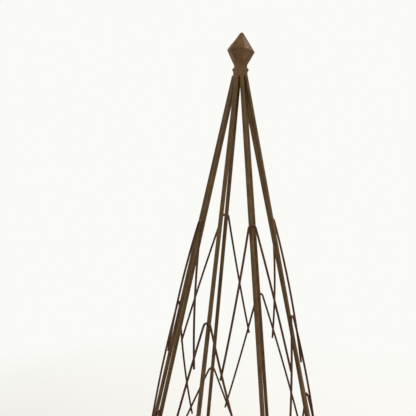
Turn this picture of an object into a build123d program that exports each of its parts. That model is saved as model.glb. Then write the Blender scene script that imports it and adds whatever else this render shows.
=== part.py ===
from build123d import *
import os
from math import asin, atan2, cos, radians, sin, tan

# Garden obelisk: a cone of eight straight steel rods gathered under a cast hexagonal finial.
# Bent wires shaped like a narrow upside-down V hang on the outside of every second rod. Each
# row of wires is a step lower and one rod round, its arms lie over the arm ends of the row
# above, and the last row ends on a ring inside the feet.
# The origin is on the floor, on the cone's axis. +Z is up. Millimetres and degrees.
# Legs are numbered from 0 here, and rows of wires from 0 at the top.

# Rods and wires
rod_diameter = 8.6
wire_diameter = 4.4
weld_sink = 0.02  # how far touching rods and wires are fused into each other

# Legs
leg_count = 8
leg_turn = 22.5  # first leg, from +X
leg_lean = 12.55  # from the vertical
casting_height = 1388.0  # underside of the finial, where the legs end
leg_top_radius = 10.8  # mean distance from the axis to a leg's centre line, at that height
# The tops are bundled by hand, seven round one. Each is placed along X and Y.
leg_tops = [
    (2.7, 0.0),
    (5.8, 9.6),
    (-2.9, 9.6),
    (-12.6, 5.2),
    (-8.2, -2.3),
    (-5.6, -10.6),
    (3.0, -11.4),
    (10.4, -5.6),
]
# Hand-set feet: how far round each leg stands from its even place, at the base ring
foot_shifts = [-6.0, 0.0, 0.0, 15.0, 5.0, 1.0, 2.0, 2.0]

# Base ring
ring_height = 47.0

# Chevron wires: height of each row's peak, from the top row down
row_heights = [1100.0, 917.0, 717.0, 525.0, 333.0]
wires_per_row = 4
bend_radius = 7.5  # centre line of the bend at the peak
arm_bow = 4.8  # how far the middle of an arm stands outside its chord
crossing_share = 0.48  # of the way from one row's peak to the next, where arms cross
# Hand-bent wires that sit askew: row, leg and side, and the share there instead
askew_shares = {(1, 5, 1): 0.35, (1, 5, -1): 0.64, (0, 4, 1): 0.42}
ring_share = 0.667  # of the way round to the next leg, where a wire's arm reaches the base ring
arm_overhang = 13.0  # length of arm left past a crossing
ring_overhang = 9.0  # length of arm left past the base ring

# Finial: heights above its underside, hexagons given by their corner radius
finial_sides = 6
finial_turn = -72.0  # its first corner, from +X
tip_height = 82.0
tip_radius = 3.0
girdle_height = 49.8
girdle_radius = 28.8
# The casting isn't true: how far each corner of the girdle hangs below its even height
girdle_droops = [0.0, 6.5, 3.0, 0.5, 0.0, 0.0]
neck_height = 19.0
neck_radius = 14.4
bead_height = 10.7
bead_radius = 17.4
bead_half_width = 3.4
bead_top_radius = 13.2
collar_radius = 14.9

bay = 360.0 / leg_count
rod_radius = rod_diameter / 2
wire_radius = wire_diameter / 2
settling_rounds = 6  # passes that bring two crossing wires to the right distance
halving_rounds = 30
wire_on_rod = rod_radius + wire_radius - weld_sink
wire_on_wire = wire_diameter - weld_sink
rod_on_rod = rod_diameter - weld_sink
sides = (1, -1)  # of a leg: towards the next one round, and towards the one before


def leg_radius(height):
    """Mean distance from the axis to the legs' centre lines at a height."""
    return leg_top_radius + (casting_height - height) * tan(radians(leg_lean))


def polar(turn, radius, height):
    """Point at an angle from +X, a distance from the axis and a height."""
    return Vector(radius * cos(radians(turn)), radius * sin(radians(turn)), height)


def outward_from_axis(point):
    """Level direction away from the axis at a point."""
    return Vector(point.X, point.Y, 0).normalized()


def foot_turn(number):
    """Angle from +X of a leg at the base ring. Numbers may run past the last leg."""
    return leg_turn + bay * number + foot_shifts[number % leg_count]


def leg_at(number, height):
    """Point of a leg's centre line at a height: from its top straight to its place at the ring."""
    top = Vector(*leg_tops[number], casting_height)
    outward = polar(foot_turn(number), 1, 0)
    lean = atan2(leg_radius(ring_height) - top.dot(outward), casting_height - ring_height)
    at_ring = polar(foot_turn(number), ring_radius + rod_on_rod / cos(lean), ring_height)
    return at_ring + (top - at_ring) * ((height - ring_height) / (casting_height - ring_height))


def rod_between(start, end, diameter):
    """Straight round rod from one point to another."""
    run = end - start
    return extrude(Plane(origin=start, z_dir=run) * Circle(diameter / 2), amount=run.length)


def leg(number):
    """Leg cut level at the floor and under the finial."""
    spare = 2 * rod_diameter
    rod = rod_between(leg_at(number, casting_height + spare), leg_at(number, -spare), rod_diameter)
    wide = 4 * leg_radius(0)
    slab = Pos(0, 0, casting_height / 2) * Box(wide, wide, casting_height)
    return rod & slab


ring_radius = leg_radius(ring_height) - rod_on_rod / cos(radians(leg_lean))


def base_ring():
    """Ring of rod that all the legs touch from outside."""
    return Pos(0, 0, ring_height) * Torus(ring_radius, rod_radius)


class Arm:
    """Half of a chevron wire: from its peak on a leg, down one side to a target point.

    The bend at the peak lies flat on the outside of the leg. The arm leaves it as a long
    shallow arc, bowed outward to follow the cone, and ends in a short straight overhang."""

    def __init__(self, number, height, side, target, overhang):
        on_leg = leg_at(number, height)
        down_leg = (leg_at(number, 0) - on_leg).normalized()
        outward = outward_from_axis(on_leg)
        round_axis = Vector(0, 0, 1).cross(outward)
        self.peak = on_leg + down_leg.cross(round_axis).normalized() * wire_on_rod
        self.sideways = round_axis * side
        self.target = target
        self.start = self.peak
        for _ in range(settling_rounds):
            reach = target - self.start
            chord = reach.normalized()
            bowed_way = (outward - chord * outward.dot(chord)).normalized()
            turn_off_chord = 2 * atan2(2 * arm_bow, reach.length)
            self.start_way = chord * cos(turn_off_chord) + bowed_way * sin(turn_off_chord)
            self.end_way = chord * cos(turn_off_chord) - bowed_way * sin(turn_off_chord)
            spread = asin(self.start_way.dot(self.sideways))
            fall = (self.start_way - self.sideways * sin(spread)).normalized()
            bend_centre = self.peak + fall * bend_radius
            self.start = bend_centre + (self.sideways * cos(spread) - fall * sin(spread)) * bend_radius
        self.tip = target + self.end_way * overhang

    def long_arc(self):
        """The arm from the bend down to its target."""
        return TangentArc(self.start, self.target, tangent=self.start_way)

    def at(self, drop):
        """Centre and direction of the arm at a drop below the peak."""
        arc = self.long_arc()
        low, high = 0.0, 1.0
        for _ in range(halving_rounds):
            middle = (low + high) / 2
            if self.peak.Z - (arc @ middle).Z < drop:
                low = middle
            else:
                high = middle
        return arc @ low, arc % low


def chevron(arm, other_arm):
    """The wire made of two arms that share a peak."""
    path = Wire(
        [
            Edge.make_line(arm.tip, arm.target),
            TangentArc(arm.target, arm.start, tangent=-arm.end_way).edge(),
            TangentArc(arm.start, arm.peak, tangent=-arm.start_way).edge(),
            TangentArc(other_arm.peak, other_arm.start, tangent=other_arm.sideways).edge(),
            other_arm.long_arc().edge(),
            Edge.make_line(other_arm.target, other_arm.tip),
        ]
    )
    section = Plane(origin=arm.tip, z_dir=-arm.end_way) * Circle(wire_radius)
    return sweep(section, path=path)


def settled_arm(number, height, side, contact, crossed, distance, overhang):
    """Arm that passes a contact point at a distance outward, square to itself and to crossed."""
    arm = Arm(number, height, side, contact, overhang)
    for _ in range(settling_rounds):
        square = arm.end_way.cross(crossed).normalized()
        if square.dot(outward_from_axis(contact)) < 0:
            square = -square
        arm = Arm(number, height, side, contact + square * distance, overhang)
    return arm


def arm_to_ring(number, height, side):
    """Arm of the last row: it ends against the outside of the base ring."""
    turn = foot_turn(number) + ring_share * (foot_turn(number + side) - foot_turn(number))
    contact = polar(turn, ring_radius, ring_height)
    along_ring = polar(turn + 90, 1, 0)
    return settled_arm(number, height, side, contact, along_ring, wire_on_rod, ring_overhang)


def arm_to_row_below(number, height, side, drop, arm_below):
    """Arm of an upper row: it ends behind the nearer arm of the neighbour in the row below."""
    contact, crossed = arm_below.at(drop)
    return settled_arm(number, height, side, contact, crossed, -wire_on_wire, arm_overhang)


def legs_of_row(row):
    """Numbers of the legs that carry a row's wires: every second leg, one further each row."""
    return [(row + place * leg_count // wires_per_row) % leg_count for place in range(wires_per_row)]


def all_arms():
    """Every arm by row, leg and side, worked out from the last row up."""
    last = len(row_heights) - 1
    arms = {}
    for row in range(last, -1, -1):
        height = row_heights[row]
        for number in legs_of_row(row):
            for side in sides:
                if row == last:
                    arms[row, number, side] = arm_to_ring(number, height, side)
                else:
                    share = askew_shares.get((row, number, side), crossing_share)
                    drop = share * (height - row_heights[row + 1])
                    arm_below = arms[row + 1, (number + side) % leg_count, -side]
                    arms[row, number, side] = arm_to_row_below(number, height, side, drop, arm_below)
    return arms


def hexagon(height, radius, droops):
    """Six corners round the finial's axis, each let down by its own droop."""
    step = 360.0 / finial_sides
    return [polar(finial_turn + step * i, radius, height - droop) for i, droop in enumerate(droops)]


def faceted_body(hexagons):
    """Closed solid between hexagons, from the lowest up, with a triangle pair on each side."""
    corner_sets = [hexagons[0], hexagons[-1]]
    for lower, upper in zip(hexagons, hexagons[1:]):
        for i in range(finial_sides):
            after = (i + 1) % finial_sides
            corner_sets.append([lower[i], lower[after], upper[i]])
            corner_sets.append([lower[after], upper[after], upper[i]])
    return Solid(Shell([Face(Wire.make_polygon(corners)) for corners in corner_sets]))


def finial():
    """Casting: hexagonal point on a tapered hexagonal body, above a round collar with a bead."""
    level = [0.0] * finial_sides
    body = faceted_body(
        [
            hexagon(bead_height, neck_radius, level),
            hexagon(neck_height, neck_radius, level),
            hexagon(girdle_height, girdle_radius, girdle_droops),
            hexagon(tip_height, tip_radius, level),
        ]
    )
    bead_bottom = bead_height - bead_half_width
    bead_top = bead_height + bead_half_width
    with BuildPart() as collar:
        with BuildSketch(Plane.XZ):
            with BuildLine():
                Polyline((0, 0), (collar_radius, 0), (collar_radius, bead_bottom))
                ThreePointArc(
                    (collar_radius, bead_bottom),
                    (bead_radius, bead_height),
                    (bead_top_radius, bead_top),
                )
                Polyline((bead_top_radius, bead_top), (0, bead_top), (0, 0))
            make_face()
        revolve(axis=Axis.Z)
    return Pos(0, 0, casting_height) * (body + collar.part)


def save(part, name):
    """Write one piece to its own file."""
    export_step(part, os.path.join("parts", name + ".step"))


def main():
    os.makedirs("parts", exist_ok=True)
    save(finial(), "finial")
    save(base_ring(), "base_ring")
    for number in range(leg_count):
        save(leg(number), f"leg_{number + 1}")
    arms = all_arms()
    for row in range(len(row_heights)):
        for letter, number in zip("abcd", legs_of_row(row)):
            wire = chevron(*(arms[row, number, side] for side in sides))
            save(wire, f"chevron_{row + 1}{letter}")


if __name__ == "__main__":
    main()
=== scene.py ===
from math import cos, pi, radians, sin, sqrt

import bmesh
import bpy
import numpy as np
from mathutils import Matrix, Vector, noise


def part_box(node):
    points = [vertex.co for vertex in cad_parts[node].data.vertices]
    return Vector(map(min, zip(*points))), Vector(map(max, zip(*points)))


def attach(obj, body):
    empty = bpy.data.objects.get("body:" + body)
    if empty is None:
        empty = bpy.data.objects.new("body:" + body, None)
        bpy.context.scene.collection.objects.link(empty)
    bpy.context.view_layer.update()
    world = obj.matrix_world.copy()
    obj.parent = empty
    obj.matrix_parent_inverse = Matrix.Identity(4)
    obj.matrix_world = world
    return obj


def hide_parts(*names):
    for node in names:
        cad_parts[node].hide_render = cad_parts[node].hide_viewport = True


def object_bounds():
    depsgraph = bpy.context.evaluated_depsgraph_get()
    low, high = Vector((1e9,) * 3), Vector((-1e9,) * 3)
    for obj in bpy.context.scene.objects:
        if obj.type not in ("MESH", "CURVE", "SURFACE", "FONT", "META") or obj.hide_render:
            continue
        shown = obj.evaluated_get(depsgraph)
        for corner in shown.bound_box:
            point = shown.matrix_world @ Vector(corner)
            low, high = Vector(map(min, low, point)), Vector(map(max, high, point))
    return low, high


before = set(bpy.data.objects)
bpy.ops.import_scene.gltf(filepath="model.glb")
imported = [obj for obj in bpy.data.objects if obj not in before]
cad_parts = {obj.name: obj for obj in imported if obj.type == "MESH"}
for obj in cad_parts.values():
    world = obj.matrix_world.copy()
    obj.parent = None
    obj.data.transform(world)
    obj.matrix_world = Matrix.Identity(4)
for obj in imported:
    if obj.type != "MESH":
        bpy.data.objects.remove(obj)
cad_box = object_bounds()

# Lengths are metres and angles are degrees unless a name says otherwise.
MM = 0.001

# Sizes of the round stock, and how finely it is meshed
ROD_RADIUS = 4.3 * MM
WIRE_RADIUS = 2.2 * MM
ROD_SIDES = 28
WIRE_SIDES = 18
ROD_STEP = 4 * MM
WIRE_STEP = 2.5 * MM
# Cut ends: the chamfer's length and the flat left inside it, as shares of the radius
CHAMFER = 0.18
CUT_END = 0.8

# How a bent wire's centre line is read from its node, by level cuts below the bend
BEND_DROP = 6 * MM
BEND_POINTS = 17
ARM_CUTS = 60
CROWN_DEPTH = 0.15 * WIRE_RADIUS
CLEAR_OF_END = 2.5 * WIRE_RADIUS

# Relief of rolled, rusted stock: lump sizes, and depths as shares of the radius
LUMP_SIZE = 9 * MM
LUMP_DEPTH = 0.018
GRAIN_SIZE = 1.7 * MM
GRAIN_DEPTH = 0.012
PIT_SIZE = 3.1 * MM
PIT_LEVEL = 0.72
PIT_DEPTH = 0.16

LEG_NODES = sorted(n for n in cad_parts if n.startswith("leg_"))
CHEVRON_NODES = sorted(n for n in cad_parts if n.startswith("chevron_"))
ROOT = "root"


# ---------------------------------------------------------------- mesh tools

def new_piece(name, bm, material):
    """Turn a bmesh into a smooth-shaded piece that rides on the one body."""
    bmesh.ops.recalc_face_normals(bm, faces=bm.faces)
    mesh = bpy.data.meshes.new(name)
    bm.to_mesh(mesh)
    bm.free()
    mesh.polygons.foreach_set("use_smooth", [True] * len(mesh.polygons))
    mesh.materials.append(material)
    piece = bpy.data.objects.new(name, mesh)
    bpy.context.scene.collection.objects.link(piece)
    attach(piece, ROOT)
    return piece


def ripple(point, scale, seed):
    """Smooth noise from 0 to 1 at a point; scale is the size of its lumps."""
    return 0.5 + 0.5 * noise.noise(point / scale + Vector((seed, 2.7 * seed, -1.3 * seed)))


def rolled_surface(point, seed):
    """Share of the full radius left at a point of rolled, rusted stock: never above 1."""
    lumps = ripple(point, LUMP_SIZE, seed)
    grain = ripple(point, GRAIN_SIZE, seed + 5)
    pits = max(0.0, ripple(point, PIT_SIZE, seed + 9) - PIT_LEVEL)
    return 1 - LUMP_DEPTH * lumps - GRAIN_DEPTH * grain - PIT_DEPTH * pits


def skin_rings(bm, rings, closed=False):
    """Join rings of vertices, each as long as the next, into a tube."""
    count = len(rings)
    sides = len(rings[0])
    for i in range(count if closed else count - 1):
        here, there = rings[i], rings[(i + 1) % count]
        for j in range(sides):
            k = (j + 1) % sides
            bm.faces.new((here[j], here[k], there[k], there[j]))
    if not closed:
        bm.faces.new(rings[0])
        bm.faces.new(list(reversed(rings[-1])))


def resampled(points, step):
    """The same line with points a step apart."""
    result = [points[0]]
    for a, b in zip(points, points[1:]):
        parts = max(1, round((b - a).length / step))
        result += [a.lerp(b, i / parts) for i in range(1, parts + 1)]
    return result


def tube_frames(points, closed=False):
    """Direction and two cross axes at each point of a line, turned as little as possible."""
    frames = []
    count = len(points)
    side = None
    for i, point in enumerate(points):
        if closed:
            ahead, behind = points[(i + 1) % count], points[i - 1]
        else:
            ahead, behind = points[min(i + 1, count - 1)], points[max(i - 1, 0)]
        way = (ahead - behind).normalized()
        if side is None:
            side = way.orthogonal()
        side = (side - way * side.dot(way)).normalized()
        frames.append((way, side, way.cross(side)))
    return frames


def round_tube(bm, points, radius, sides, seed, closed=False):
    """Tube of rolled stock along a line, with small chamfers at cut ends."""
    frames = tube_frames(points, closed)
    stations = list(zip(points, frames, [1.0] * len(points)))
    if not closed:
        chamfer = CHAMFER * radius
        first, last = stations[0], stations[-1]
        inner_first = (first[0] + first[1][0] * chamfer, first[1], 1.0)
        inner_last = (last[0] - last[1][0] * chamfer, last[1], 1.0)
        tip_first = (first[0], first[1], CUT_END)
        tip_last = (last[0], last[1], CUT_END)
        stations = [tip_first, inner_first] + stations[1:-1] + [inner_last, tip_last]
    rings = []
    for centre, (way, side, up), share in stations:
        ring = []
        for j in range(sides):
            angle = 2 * pi * j / sides
            out = side * cos(angle) + up * sin(angle)
            reach = radius * share
            kept = rolled_surface(centre + out * reach, seed)
            ring.append(bm.verts.new(centre + out * reach * kept))
        rings.append(ring)
    skin_rings(bm, rings, closed)


# ------------------------------------------------- centre lines, from the frame

def node_mesh(node):
    """Vertex positions and edges of a CAD node."""
    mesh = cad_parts[node].data
    spots = np.array([v.co[:] for v in mesh.vertices])
    edges = np.array([e.vertices[:] for e in mesh.edges])
    return spots, edges


def cut_points(spots, edges, height):
    """Where a level plane cuts the edges of a mesh."""
    a, b = spots[edges[:, 0]], spots[edges[:, 1]]
    cut = (a[:, 2] - height) * (b[:, 2] - height) < 0
    a, b = a[cut], b[cut]
    share = ((height - a[:, 2]) / (b[:, 2] - a[:, 2]))[:, None]
    return a + share * (b - a)


def middle(points):
    """Centre of the box round some points."""
    return Vector((points.min(0) + points.max(0)) / 2)


def leg_line(node):
    """Foot and top of a leg's centre line."""
    spots, edges = node_mesh(node)
    low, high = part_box(node)
    inset = 5 * MM
    near_foot = middle(cut_points(spots, edges, low.z + inset))
    near_top = middle(cut_points(spots, edges, high.z - inset))
    step = (near_top - near_foot) * (inset / (near_top.z - near_foot.z))
    return near_foot - step, near_top + step


def arc_through(start, middle_point, end, count):
    """Points of the circular arc through three points."""
    a, b = middle_point - start, end - start
    square = a.cross(b)
    centre = start + (square.cross(a) * b.length_squared + b.cross(square) * a.length_squared) / (
        2 * square.length_squared
    )
    first, last = start - centre, end - centre
    radius = first.length
    axis = square.normalized()
    whole = first.angle(last)
    if (Matrix.Rotation(whole, 3, axis) @ first - last).length > 0.1 * radius:
        whole = 2 * pi - whole
    return [centre + Matrix.Rotation(whole * i / (count - 1), 3, axis) @ first for i in range(count)]


def chevron_line(node):
    """Centre line of a bent wire: up one arm, round the bend and down the other."""
    spots, edges = node_mesh(node)
    top = spots[:, 2].max()
    crown = spots[spots[:, 2] > top - CROWN_DEPTH]
    peak = middle(crown)
    peak.z = top - WIRE_RADIUS
    outward = Vector((peak.x, peak.y, 0)).normalized()
    sideways = Vector((-outward.y, outward.x, 0))
    arms = []
    for side in (-1, 1):
        beside = (spots @ np.array(sideways)) * side
        bottom = spots[beside > WIRE_RADIUS][:, 2].min()
        arm = []
        for height in np.linspace(bottom + CLEAR_OF_END, peak.z - BEND_DROP, ARM_CUTS):
            cut = cut_points(spots, edges, height)
            arm.append(middle(cut[(cut @ np.array(sideways)) * side > 0]))
        way = (arm[0] - arm[3]).normalized()
        tip_height = bottom + WIRE_RADIUS * sqrt(1 - way.z ** 2)
        arm.insert(0, arm[0] + way * ((tip_height - arm[0].z) / way.z))
        arms.append(arm)
    left, right = arms
    bend = arc_through(left[-1], peak, right[-1], BEND_POINTS)
    return left[:-1] + bend + right[-2::-1], peak


legs = {node: leg_line(node) for node in LEG_NODES}
chevrons = {node: chevron_line(node) for node in CHEVRON_NODES}
ring_low, ring_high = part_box("base_ring")
ring_centre_radius = (ring_high.x - ring_low.x) / 2 - ROD_RADIUS
ring_height = (ring_low.z + ring_high.z) / 2


# ---------------------------------------------------------------- materials

def node_adder(tree):
    """Function that adds a node to a tree, with its properties set."""

    def add(kind, **values):
        node = tree.nodes.new(kind)
        for key, value in values.items():
            setattr(node, key, value)
        return node

    return add


def node_tools(name):
    """A new material, its node tree and shader, and the function that adds nodes to it."""
    material = bpy.data.materials.new(name)
    material.use_nodes = True
    tree = material.node_tree
    return material, tree, tree.nodes["Principled BSDF"], node_adder(tree)


def noise_texture(add, tree, coordinates, scale, detail, roughness):
    """Noise node in object coordinates."""
    node = add("ShaderNodeTexNoise")
    node.inputs["Scale"].default_value = scale
    node.inputs["Detail"].default_value = detail
    node.inputs["Roughness"].default_value = roughness
    tree.links.new(coordinates, node.inputs["Vector"])
    return node


def colour_ramp(add, tree, source, stops):
    """Colour ramp node with (place, colour) stops."""
    node = add("ShaderNodeValToRGB")
    ramp = node.color_ramp
    while len(ramp.elements) < len(stops):
        ramp.elements.new(0.5)
    for element, (place, colour) in zip(ramp.elements, stops):
        element.position = place
        element.color = (*colour, 1)
    tree.links.new(source, node.inputs["Fac"])
    return node


def map_range(add, tree, source, low, high, to_low, to_high):
    """Map a value from one range to another, held at the ends."""
    node = add("ShaderNodeMapRange")
    for key, value in (("From Min", low), ("From Max", high), ("To Min", to_low), ("To Max", to_high)):
        node.inputs[key].default_value = value
    tree.links.new(source, node.inputs["Value"])
    return node


def mix_colour(add, tree, share, first, second):
    """Mix two colours, given as outputs or plain colours, by a share."""
    node = add("ShaderNodeMix", data_type="RGBA")
    tree.links.new(share, node.inputs["Factor"])
    for source, socket in ((first, node.inputs[6]), (second, node.inputs[7])):
        if isinstance(source, tuple):
            socket.default_value = (*source, 1)
        else:
            tree.links.new(source, socket)
    return node.outputs[2]


def rusted_metal(name, dark, brown, rust, worn, roughness, grain, bump_height):
    """Brown oxide over steel: mottled colour, rust freckles, worn high spots and fine pitting."""
    material, tree, shader, add = node_tools(name)
    coordinates = add("ShaderNodeTexCoord").outputs["Object"]
    patches = noise_texture(add, tree, coordinates, 45, 4, 0.6)
    freckles = noise_texture(add, tree, coordinates, grain * 0.45, 5, 0.7)
    pitting = noise_texture(add, tree, coordinates, grain, 6, 0.65)
    base = colour_ramp(add, tree, patches.outputs["Fac"], [(0.3, dark), (0.62, brown), (0.8, rust)])
    freckle_share = map_range(add, tree, freckles.outputs["Fac"], 0.55, 0.72, 0.0, 0.75)
    colour = mix_colour(add, tree, freckle_share.outputs["Result"], base.outputs["Color"], rust)
    geometry = add("ShaderNodeNewGeometry")
    edge_share = map_range(add, tree, geometry.outputs["Pointiness"], 0.52, 0.62, 0.0, 0.7)
    colour = mix_colour(add, tree, edge_share.outputs["Result"], colour, worn)
    hollow_share = map_range(add, tree, pitting.outputs["Fac"], 0.28, 0.45, 0.55, 0.0)
    colour = mix_colour(add, tree, hollow_share.outputs["Result"], colour, dark)
    tree.links.new(colour, shader.inputs["Base Color"])
    gloss = map_range(add, tree, freckles.outputs["Fac"], 0.35, 0.7, roughness - 0.08, roughness + 0.2)
    tree.links.new(gloss.outputs["Result"], shader.inputs["Roughness"])
    shader.inputs["Metallic"].default_value = 0.0
    shader.inputs["Specular IOR Level"].default_value = 0.3
    bump = add("ShaderNodeBump")
    bump.inputs["Strength"].default_value = 0.8
    bump.inputs["Distance"].default_value = bump_height
    tree.links.new(pitting.outputs["Fac"], bump.inputs["Height"])
    tree.links.new(bump.outputs["Normal"], shader.inputs["Normal"])
    return material


rod_metal = rusted_metal(
    "rod_metal",
    dark=(0.120, 0.066, 0.023),
    brown=(0.200, 0.114, 0.042),
    rust=(0.290, 0.160, 0.060),
    worn=(0.390, 0.280, 0.170),
    roughness=0.42,
    grain=900,
    bump_height=0.00012,
)
wire_metal = rusted_metal(
    "wire_metal",
    dark=(0.075, 0.028, 0.009),
    brown=(0.130, 0.050, 0.016),
    rust=(0.190, 0.075, 0.022),
    worn=(0.270, 0.160, 0.090),
    roughness=0.48,
    grain=1400,
    bump_height=0.00008,
)
cast_metal = rusted_metal(
    "cast_metal",
    dark=(0.130, 0.068, 0.026),
    brown=(0.270, 0.150, 0.064),
    rust=(0.400, 0.240, 0.120),
    worn=(0.560, 0.420, 0.270),
    roughness=0.55,
    grain=700,
    bump_height=0.0004,
)
weld_metal = rusted_metal(
    "weld_metal",
    dark=(0.050, 0.026, 0.010),
    brown=(0.100, 0.055, 0.022),
    rust=(0.180, 0.085, 0.032),
    worn=(0.260, 0.170, 0.100),
    roughness=0.48,
    grain=1200,
    bump_height=0.00012,
)


# ---------------------------------------------------------------- rods and wires

# Noise seeds: the legs use their numbers, the wires theirs past this one
WIRE_SEED = 20
RING_SEED = 60


def build_leg(number, node):
    """Straight rod with level ends: each ring is the level cut through the leaning rod."""
    foot, top = legs[node]
    way = (top - foot).normalized()
    outward = Vector((foot.x, foot.y, 0)).normalized()
    sideways = Vector((-outward.y, outward.x, 0))
    stretch = 1 / way.z
    bm = bmesh.new()
    count = round((top - foot).length / ROD_STEP)
    rings = []
    for i in range(count + 1):
        centre = foot.lerp(top, i / count)
        ring = []
        for j in range(ROD_SIDES):
            angle = 2 * pi * j / ROD_SIDES
            out = outward * (cos(angle) * stretch * ROD_RADIUS) + sideways * (sin(angle) * ROD_RADIUS)
            ring.append(bm.verts.new(centre + out * rolled_surface(centre + out, number)))
        rings.append(ring)
    skin_rings(bm, rings)
    piece = new_piece(f"leg_rod_{number}", bm, rod_metal)
    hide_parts(node)


def build_chevron(number, node):
    """Bent wire with square-cut ends."""
    bm = bmesh.new()
    line, _ = chevrons[node]
    round_tube(bm, resampled(line, WIRE_STEP), WIRE_RADIUS, WIRE_SIDES, WIRE_SEED + number)
    piece = new_piece(f"bent_wire_{node[len('chevron_'):]}", bm, wire_metal)
    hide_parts(node)


def build_base_ring():
    """Hoop of rod."""
    bm = bmesh.new()
    count = round(2 * pi * ring_centre_radius / ROD_STEP)
    turns = [2 * pi * i / count for i in range(count)]
    reach = ring_centre_radius
    line = [Vector((reach * cos(turn), reach * sin(turn), ring_height)) for turn in turns]
    round_tube(bm, line, ROD_RADIUS, ROD_SIDES, RING_SEED, closed=True)
    piece = new_piece("base_hoop", bm, rod_metal)
    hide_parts("base_ring")


# ---------------------------------------------------------------- finial

FINIAL_TURN = -72.0
FINIAL_CORNERS = 6
FINIAL_SIDES = 240
# Heights above the casting's underside, and the step between its rings, in mm
FINIAL_STEP = 0.5
NECK_HEIGHT = 19.0
TIP_HEIGHT = 82.0
TIP_LEAN = 1.2 * MM
FINIAL_SEED = 31
# How crisp the corners are, how much the profile is softened, and how the relief fades to the tip
CORNER_SHARPNESS = 60.0
SOFTENING_PASSES = 2
RELIEF_FADE = 3.0
# Relief of the rough casting: lump size, depth in mm, and what is added to the seed
CAST_RELIEF = [(9 * MM, 0.5, 0), (3.2 * MM, 0.5, 3), (1.1 * MM, 0.2, 6)]
# Height above the underside in mm, share of the girdle's radius, and how hexagonal (0 is round)
FINIAL_LEVELS = [
    (0.0, 0.495, 0.0),
    (0.8, 0.515, 0.0),
    (6.8, 0.515, 0.0),
    (8.4, 0.560, 0.0),
    (10.6, 0.610, 0.05),
    (12.4, 0.565, 0.15),
    (14.0, 0.492, 0.4),
    (NECK_HEIGHT, 0.492, 1.0),
    (49.0, 1.0, 1.0),
    (50.3, 1.0, 1.0),
    (80.0, 0.150, 0.9),
    (81.4, 0.090, 0.5),
    (TIP_HEIGHT, 0.040, 0.2),
]


def girdle_corners():
    """Radius and height of each corner of the casting's girdle, from the CAD node."""
    spots, _ = node_mesh("finial")
    corners = []
    for number in range(FINIAL_CORNERS):
        turn = radians(FINIAL_TURN + 360 / FINIAL_CORNERS * number)
        reach = spots[:, 0] * cos(turn) + spots[:, 1] * sin(turn)
        best = reach.argmax()
        corners.append((reach[best], spots[best][2]))
    return corners


def section_reach(angle, hexagonal):
    """Reach of a slightly rounded hexagon with corner radius 1 at an angle from a corner."""
    half_side = pi / FINIAL_CORNERS
    off_face = abs(angle % (2 * half_side) - half_side)
    off_next_face = 2 * half_side - off_face
    power = CORNER_SHARPNESS
    both = (cos(off_face) ** power + cos(off_next_face) ** power) ** (1 / power)
    rounded = cos(half_side) / both
    return hexagonal * rounded + 1 - hexagonal


def cast_surface(point, seed):
    """How far a rough casting stands in from its full shape at a point."""
    return sum(depth * ripple(point, size, seed + more) for size, depth, more in CAST_RELIEF) * MM


def smooth_curve(places, values, wanted):
    """Values between given places, straight in long spans and rounded at the joins."""
    softened = np.interp(wanted, places, values)
    for _ in range(SOFTENING_PASSES):
        softened[1:-1] = (softened[:-2] + 2 * softened[1:-1] + softened[2:]) / 4
    return softened


def build_finial():
    """Rough hexagonal casting with a collar bead; its section goes from round to hexagonal."""
    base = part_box("finial")[0].z
    corners = girdle_corners()
    girdle_radius = max(radius for radius, _ in corners)
    girdle_height = (max(height for _, height in corners) - base) / MM
    droops = [base + girdle_height * MM - height for _, height in corners]
    levels = [level[0] for level in FINIAL_LEVELS]
    fine = np.append(np.arange(0, TIP_HEIGHT, FINIAL_STEP), TIP_HEIGHT)
    reaches = smooth_curve(levels, [level[1] for level in FINIAL_LEVELS], fine)
    shapes = np.interp(fine, levels, [level[2] for level in FINIAL_LEVELS])
    droop_shares = np.interp(fine, [NECK_HEIGHT, girdle_height, TIP_HEIGHT], [0, 1, 0])
    leans = np.interp(fine, [girdle_height, TIP_HEIGHT], [0, TIP_LEAN])
    bm = bmesh.new()
    rings = []
    for height, reach, shape, droop_share, lean in zip(fine, reaches, shapes, droop_shares, leans):
        ring = []
        for j in range(FINIAL_SIDES):
            side_place = FINIAL_CORNERS * j / FINIAL_SIDES
            corner = int(side_place)
            along = side_place - corner
            droop = droops[corner] * (1 - along) + droops[(corner + 1) % FINIAL_CORNERS] * along
            angle = 2 * pi * j / FINIAL_SIDES
            turn = radians(FINIAL_TURN) + angle
            radius = reach * girdle_radius * section_reach(angle, shape)
            level = base + height * MM - droop * droop_share
            point = Vector((radius * cos(turn), radius * sin(turn), level))
            kept = 1 - cast_surface(point, FINIAL_SEED) * min(1.0, RELIEF_FADE * reach) / radius
            ring.append(bm.verts.new((point.x * kept + lean, point.y * kept, point.z)))
        rings.append(ring)
    skin_rings(bm, rings)
    piece = new_piece("cast_finial", bm, cast_metal)
    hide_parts("finial")


# ---------------------------------------------------------------- welds

# Half-lengths of the beads: along the weld, outward and across
PEAK_BEAD = (2.2 * MM, 1.7 * MM, 1.5 * MM)
ARM_BEAD = (3.6 * MM, 2.3 * MM, 2.1 * MM)
RING_BEAD_ABOVE = (4.2 * MM, 2.2 * MM, 2.0 * MM)
RING_BEAD_BELOW = (3.6 * MM, 2.0 * MM, 1.8 * MM)
TOP_BEAD = (2.6 * MM, 1.7 * MM, 2.6 * MM)
BEAD_SUBDIVISIONS = 3

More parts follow.
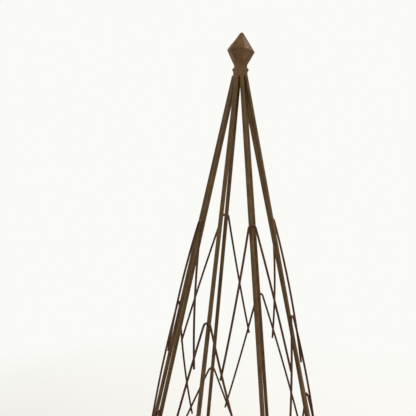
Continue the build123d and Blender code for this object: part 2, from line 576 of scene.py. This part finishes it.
# Where the beads lie, and how far those at a bend splay from the leg
PEAK_BEAD_OUT = 3.4 * MM
PEAK_BEAD_ASIDE = 3.6 * MM
PEAK_BEAD_DOWN = 1.1 * MM
PEAK_BEAD_SPLAY = 0.6
RING_BEAD_OUT = 3.4 * MM
RING_BEAD_RISE = 2.6 * MM
TOP_BEAD_OUT = 1.2 * MM
TOP_BEAD_DOWN = 1.4 * MM
LARGEST_WIRE_GAP = 3 * WIRE_RADIUS
LARGEST_TOP_GAP = 2.4 * ROD_RADIUS
OUTER_TOP_REACH = 1.5 * ROD_RADIUS

# Steps between the noise seeds of one bead and the next
PEAK_SEED_STEP = 2.3
ARM_SEED_STEP = 3.1
RING_SEED_STEP = 5.7
TOP_SEED_STEP = 7.9


def weld_bead(bm, centre, long_way, across, sizes, seed):
    """Lump of weld: an egg shape with a lumpy surface. sizes are its three half-lengths."""
    made = bmesh.ops.create_icosphere(bm, subdivisions=BEAD_SUBDIVISIONS, radius=1.0)["verts"]
    long_way = long_way.normalized()
    across = (across - long_way * across.dot(long_way)).normalized()
    third = long_way.cross(across)
    for vert in made:
        c = vert.co.copy()
        lumpy = 0.82 + 0.3 * ripple(c, 0.7, seed) + 0.08 * ripple(c, 0.25, seed + 4)
        spot = long_way * (c.x * sizes[0]) + across * (c.y * sizes[1]) + third * (c.z * sizes[2])
        vert.co = centre + spot * lumpy


def nearest_on_line(line, point):
    """Gap from a point to a line of points, the line's nearest point and its direction there."""
    best = None
    for a, b in zip(line, line[1:]):
        run = b - a
        share = min(1.0, max(0.0, (point - a).dot(run) / run.length_squared))
        spot = a + run * share
        gap = (point - spot).length
        if best is None or gap < best[0]:
            best = (gap, spot, run.normalized())
    return best


def crossing(line_a, line_b):
    """Where two lines pass nearest each other: gap, point on each, direction of the second."""
    on_b = min((nearest_on_line(line_b, point) for point in line_a), key=lambda found: found[0])[1]
    on_a = nearest_on_line(line_a, on_b)[1]
    gap, on_b, way_b = nearest_on_line(line_b, on_a)
    return gap, on_a, on_b, way_b


def peak_welds():
    """Two beads where each bend lies on its leg, one on each flank."""
    bm = bmesh.new()
    for number, node in enumerate(CHEVRON_NODES):
        _, peak = chevrons[node]
        leg = min(LEG_NODES, key=lambda n: nearest_on_line(legs[n], peak)[0])
        _, on_leg, way = nearest_on_line(legs[leg], peak)
        outward = (peak - on_leg).normalized()
        sideways = way.cross(outward)
        for side in (-1, 1):
            place = on_leg + outward * PEAK_BEAD_OUT + sideways * (side * PEAK_BEAD_ASIDE)
            place.z -= PEAK_BEAD_DOWN
            along = way + sideways * (PEAK_BEAD_SPLAY * side)
            weld_bead(bm, place, along, outward, PEAK_BEAD, number * PEAK_SEED_STEP + side)
    new_piece("welds_wire_to_leg", bm, weld_metal)


def row_of(node):
    """Number of the row of wires that a node such as chevron_2c is in."""
    return int(node[-2])


def boxes_meet(first, second):
    """Whether the boxes of two nodes overlap."""
    low_a, high_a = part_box(first)
    low_b, high_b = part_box(second)
    return all(low_a[i] <= high_b[i] and low_b[i] <= high_a[i] for i in range(3))


def arm_welds():
    """One bead where each arm end crosses an arm of the row below."""
    bm = bmesh.new()
    count = 0
    for upper in CHEVRON_NODES:
        for lower in CHEVRON_NODES:
            if row_of(lower) != row_of(upper) + 1 or not boxes_meet(upper, lower):
                continue
            gap, on_upper, on_lower, way = crossing(chevrons[upper][0], chevrons[lower][0])
            if gap > LARGEST_WIRE_GAP:
                continue
            centre = (on_upper + on_lower) / 2
            weld_bead(bm, centre, way, on_lower - on_upper, ARM_BEAD, ARM_SEED_STEP * count)
            count += 1
    new_piece("welds_arm_to_arm", bm, weld_metal)


def ring_contacts():
    """Points of the legs and of the last row's arms where they pass the hoop."""
    contacts = []
    for foot, top in legs.values():
        contacts.append(foot.lerp(top, (ring_height - foot.z) / (top.z - foot.z)))
    last_row = max(row_of(node) for node in CHEVRON_NODES)
    for node in CHEVRON_NODES:
        if row_of(node) == last_row:
            line, _ = chevrons[node]
            half = len(line) // 2
            for arm in (line[:half], line[half:]):
                tip = min(arm, key=lambda point: point.z)
                contacts.append(nearest_on_line(arm, Vector((tip.x, tip.y, ring_height)))[1])
    return contacts


def ring_welds():
    """Beads above and below the hoop at every leg and every arm end of the last row."""
    bm = bmesh.new()
    up = Vector((0, 0, 1))
    for number, contact in enumerate(ring_contacts()):
        outward = Vector((contact.x, contact.y, 0)).normalized()
        around = up.cross(outward)
        reach = outward * (ring_centre_radius + RING_BEAD_OUT)
        seed = RING_SEED_STEP * number
        above = reach + up * (ring_height + RING_BEAD_RISE)
        weld_bead(bm, above, around, outward, RING_BEAD_ABOVE, seed)
        below = reach + up * (ring_height - RING_BEAD_RISE)
        weld_bead(bm, below, around, outward, RING_BEAD_BELOW, seed + 2)
    new_piece("welds_base_ring", bm, weld_metal)


def top_welds():
    """Beads under the casting, between each rod's end and the outer ones beside it."""
    bm = bmesh.new()
    tops = [legs[n][1] for n in LEG_NODES]
    count = 0
    for first, top in enumerate(tops):
        for other in tops[first + 1:]:
            between = (top + other) / 2
            outward = Vector((between.x, between.y, 0))
            if (top - other).length > LARGEST_TOP_GAP or outward.length < OUTER_TOP_REACH:
                continue
            outward.normalize()
            around = Vector((-outward.y, outward.x, 0))
            place = between + outward * TOP_BEAD_OUT
            place.z -= TOP_BEAD_DOWN
            weld_bead(bm, place, around, outward, TOP_BEAD, TOP_SEED_STEP * count)
            count += 1
    new_piece("welds_leg_to_casting", bm, weld_metal)


for number, node in enumerate(LEG_NODES, 1):
    build_leg(number, node)
for number, node in enumerate(CHEVRON_NODES, 1):
    build_chevron(number, node)
build_base_ring()
build_finial()
peak_welds()
arm_welds()
ring_welds()
top_welds()


# ---------------------------------------------------------------- studio

BACKGROUND = (0.955, 0.955, 0.925)
FLOOR_RADIUS = 14.0
FLOOR_DROP = 0.5 * MM
FLOOR_FADE = (0.9, 2.4)
FLOOR_TONES = [(0.3, (0.80, 0.795, 0.77)), (0.7, (0.84, 0.835, 0.81))]
# The room as the object is lit by it: colour, and brightness in front, behind and below
ROOM_COLOUR = (1.0, 0.975, 0.93)
ROOM_FRONT = 0.34
ROOM_BACK = 1.1
ROOM_BELOW = 0.45


def floor_material():
    """Pale matt floor that brightens into the background away from the object."""
    material, tree, shader, add = node_tools("pale_floor")
    coordinates = add("ShaderNodeTexCoord").outputs["Object"]
    mottle = noise_texture(add, tree, coordinates, 2.0, 3, 0.5)
    ramp = colour_ramp(add, tree, mottle.outputs["Fac"], FLOOR_TONES)
    tree.links.new(ramp.outputs["Color"], shader.inputs["Base Color"])
    shader.inputs["Roughness"].default_value = 0.7
    distance = add("ShaderNodeVectorMath", operation="LENGTH")
    tree.links.new(coordinates, distance.inputs[0])
    fade = map_range(add, tree, distance.outputs["Value"], *FLOOR_FADE, 0.0, 1.0)
    glow = add("ShaderNodeEmission")
    glow.inputs["Color"].default_value = (*BACKGROUND, 1)
    blend = add("ShaderNodeMixShader")
    tree.links.new(fade.outputs["Result"], blend.inputs["Fac"])
    tree.links.new(shader.outputs["BSDF"], blend.inputs[1])
    tree.links.new(glow.outputs["Emission"], blend.inputs[2])
    tree.links.new(blend.outputs["Shader"], tree.nodes["Material Output"].inputs["Surface"])
    return material


def build_floor():
    """Wide round floor that takes shadows but throws no light up at the object."""
    bm = bmesh.new()
    bmesh.ops.create_circle(bm, cap_ends=True, segments=96, radius=FLOOR_RADIUS)
    mesh = bpy.data.meshes.new("floor")
    bm.to_mesh(mesh)
    bm.free()
    mesh.materials.append(floor_material())
    floor = bpy.data.objects.new("floor", mesh)
    floor.location = (0, 0, -FLOOR_DROP)
    floor.visible_diffuse = False
    floor.visible_glossy = False
    bpy.context.scene.collection.objects.link(floor)


def area_light(name, place, aim, width, height, power, colour):
    """Soft rectangular light that faces a point."""
    data = bpy.data.lights.new(name, "AREA")
    data.shape = "RECTANGLE"
    data.size, data.size_y = width, height
    data.energy = power
    data.color = colour
    light = bpy.data.objects.new(name, data)
    light.location = place
    light.rotation_euler = (Vector(aim) - Vector(place)).to_track_quat("-Z", "Y").to_euler()
    light.visible_camera = False
    bpy.context.scene.collection.objects.link(light)


def build_world():
    """Even pale background, and for lighting a room that is dim in front and bright behind."""
    world = bpy.data.worlds.new("studio")
    bpy.context.scene.world = world
    world.use_nodes = True
    tree = world.node_tree
    add = node_adder(tree)
    direction = add("ShaderNodeSeparateXYZ")
    tree.links.new(add("ShaderNodeTexCoord").outputs["Generated"], direction.inputs["Vector"])
    behind = map_range(add, tree, direction.outputs["Y"], -0.6, 0.9, ROOM_FRONT, ROOM_BACK)
    above = map_range(add, tree, direction.outputs["Z"], -0.5, 0.6, ROOM_BELOW, 1.0)
    strength = add("ShaderNodeMath", operation="MULTIPLY")
    tree.links.new(behind.outputs["Result"], strength.inputs[0])
    tree.links.new(above.outputs["Result"], strength.inputs[1])
    room = add("ShaderNodeBackground")
    room.inputs["Color"].default_value = (*ROOM_COLOUR, 1)
    tree.links.new(strength.outputs["Value"], room.inputs["Strength"])
    seen = tree.nodes["Background"]
    seen.inputs["Color"].default_value = (*BACKGROUND, 1)
    blend = add("ShaderNodeMixShader")
    tree.links.new(add("ShaderNodeLightPath").outputs["Is Camera Ray"], blend.inputs["Fac"])
    tree.links.new(room.outputs["Background"], blend.inputs[1])
    tree.links.new(seen.outputs["Background"], blend.inputs[2])
    tree.links.new(blend.outputs["Shader"], tree.nodes["World Output"].inputs["Surface"])


def build_lights():
    """Window light from behind and above, and a soft strip of light from each side in front."""
    top = cad_box[1][2]
    aim = (0, 0, top * 0.75)
    area_light(
        "window",
        place=(0.6, 2.6, top + 1.2),
        aim=aim,
        width=2.6,
        height=1.8,
        power=60,
        colour=(1.0, 0.985, 0.95),
    )
    area_light(
        "strip_left",
        place=(-1.5, -1.9, top - 0.2),
        aim=aim,
        width=0.35,
        height=2.4,
        power=10,
        colour=(1.0, 0.93, 0.82),
    )
    area_light(
        "strip_right",
        place=(1.8, -1.3, top - 0.1),
        aim=aim,
        width=0.3,
        height=2.4,
        power=11,
        colour=(1.0, 0.97, 0.93),
    )


# Camera: where it stands round the axis from -Y, how far off, and how it is turned
CAMERA_AROUND = 3.25
CAMERA_DISTANCE = 1.1268
CAMERA_HEIGHT = 1.2618
CAMERA_HEADING_LEFT = 3.05
CAMERA_DOWN = 6.99
CAMERA_ROLL = 0.82
CAMERA_LENS = 48.4
SENSOR_WIDTH = 36.0


def build_camera():
    """Camera level with the upper lattice, looking a little down."""
    data = bpy.data.cameras.new("camera")
    data.sensor_width = SENSOR_WIDTH
    data.lens = CAMERA_LENS
    data.clip_start = 0.01
    data.clip_end = 100
    camera = bpy.data.objects.new("camera", data)
    around = radians(CAMERA_AROUND)
    heading = around + radians(CAMERA_HEADING_LEFT)
    down = radians(CAMERA_DOWN)
    roll = radians(CAMERA_ROLL)
    right = Vector((cos(heading), sin(heading), 0))
    forward = Vector((-sin(heading) * cos(down), cos(heading) * cos(down), -sin(down)))
    up = right.cross(forward)
    camera_right = right * cos(roll) + up * sin(roll)
    camera_up = up * cos(roll) - right * sin(roll)
    turned = Matrix((camera_right, camera_up, -forward)).transposed()
    place = Vector((CAMERA_DISTANCE * sin(around), -CAMERA_DISTANCE * cos(around), CAMERA_HEIGHT))
    camera.matrix_world = Matrix.Translation(place) @ turned.to_4x4()
    bpy.context.scene.collection.objects.link(camera)
    bpy.context.scene.camera = camera


bpy.context.scene.view_settings.view_transform = "Standard"
build_floor()
build_world()
build_lights()
build_camera()
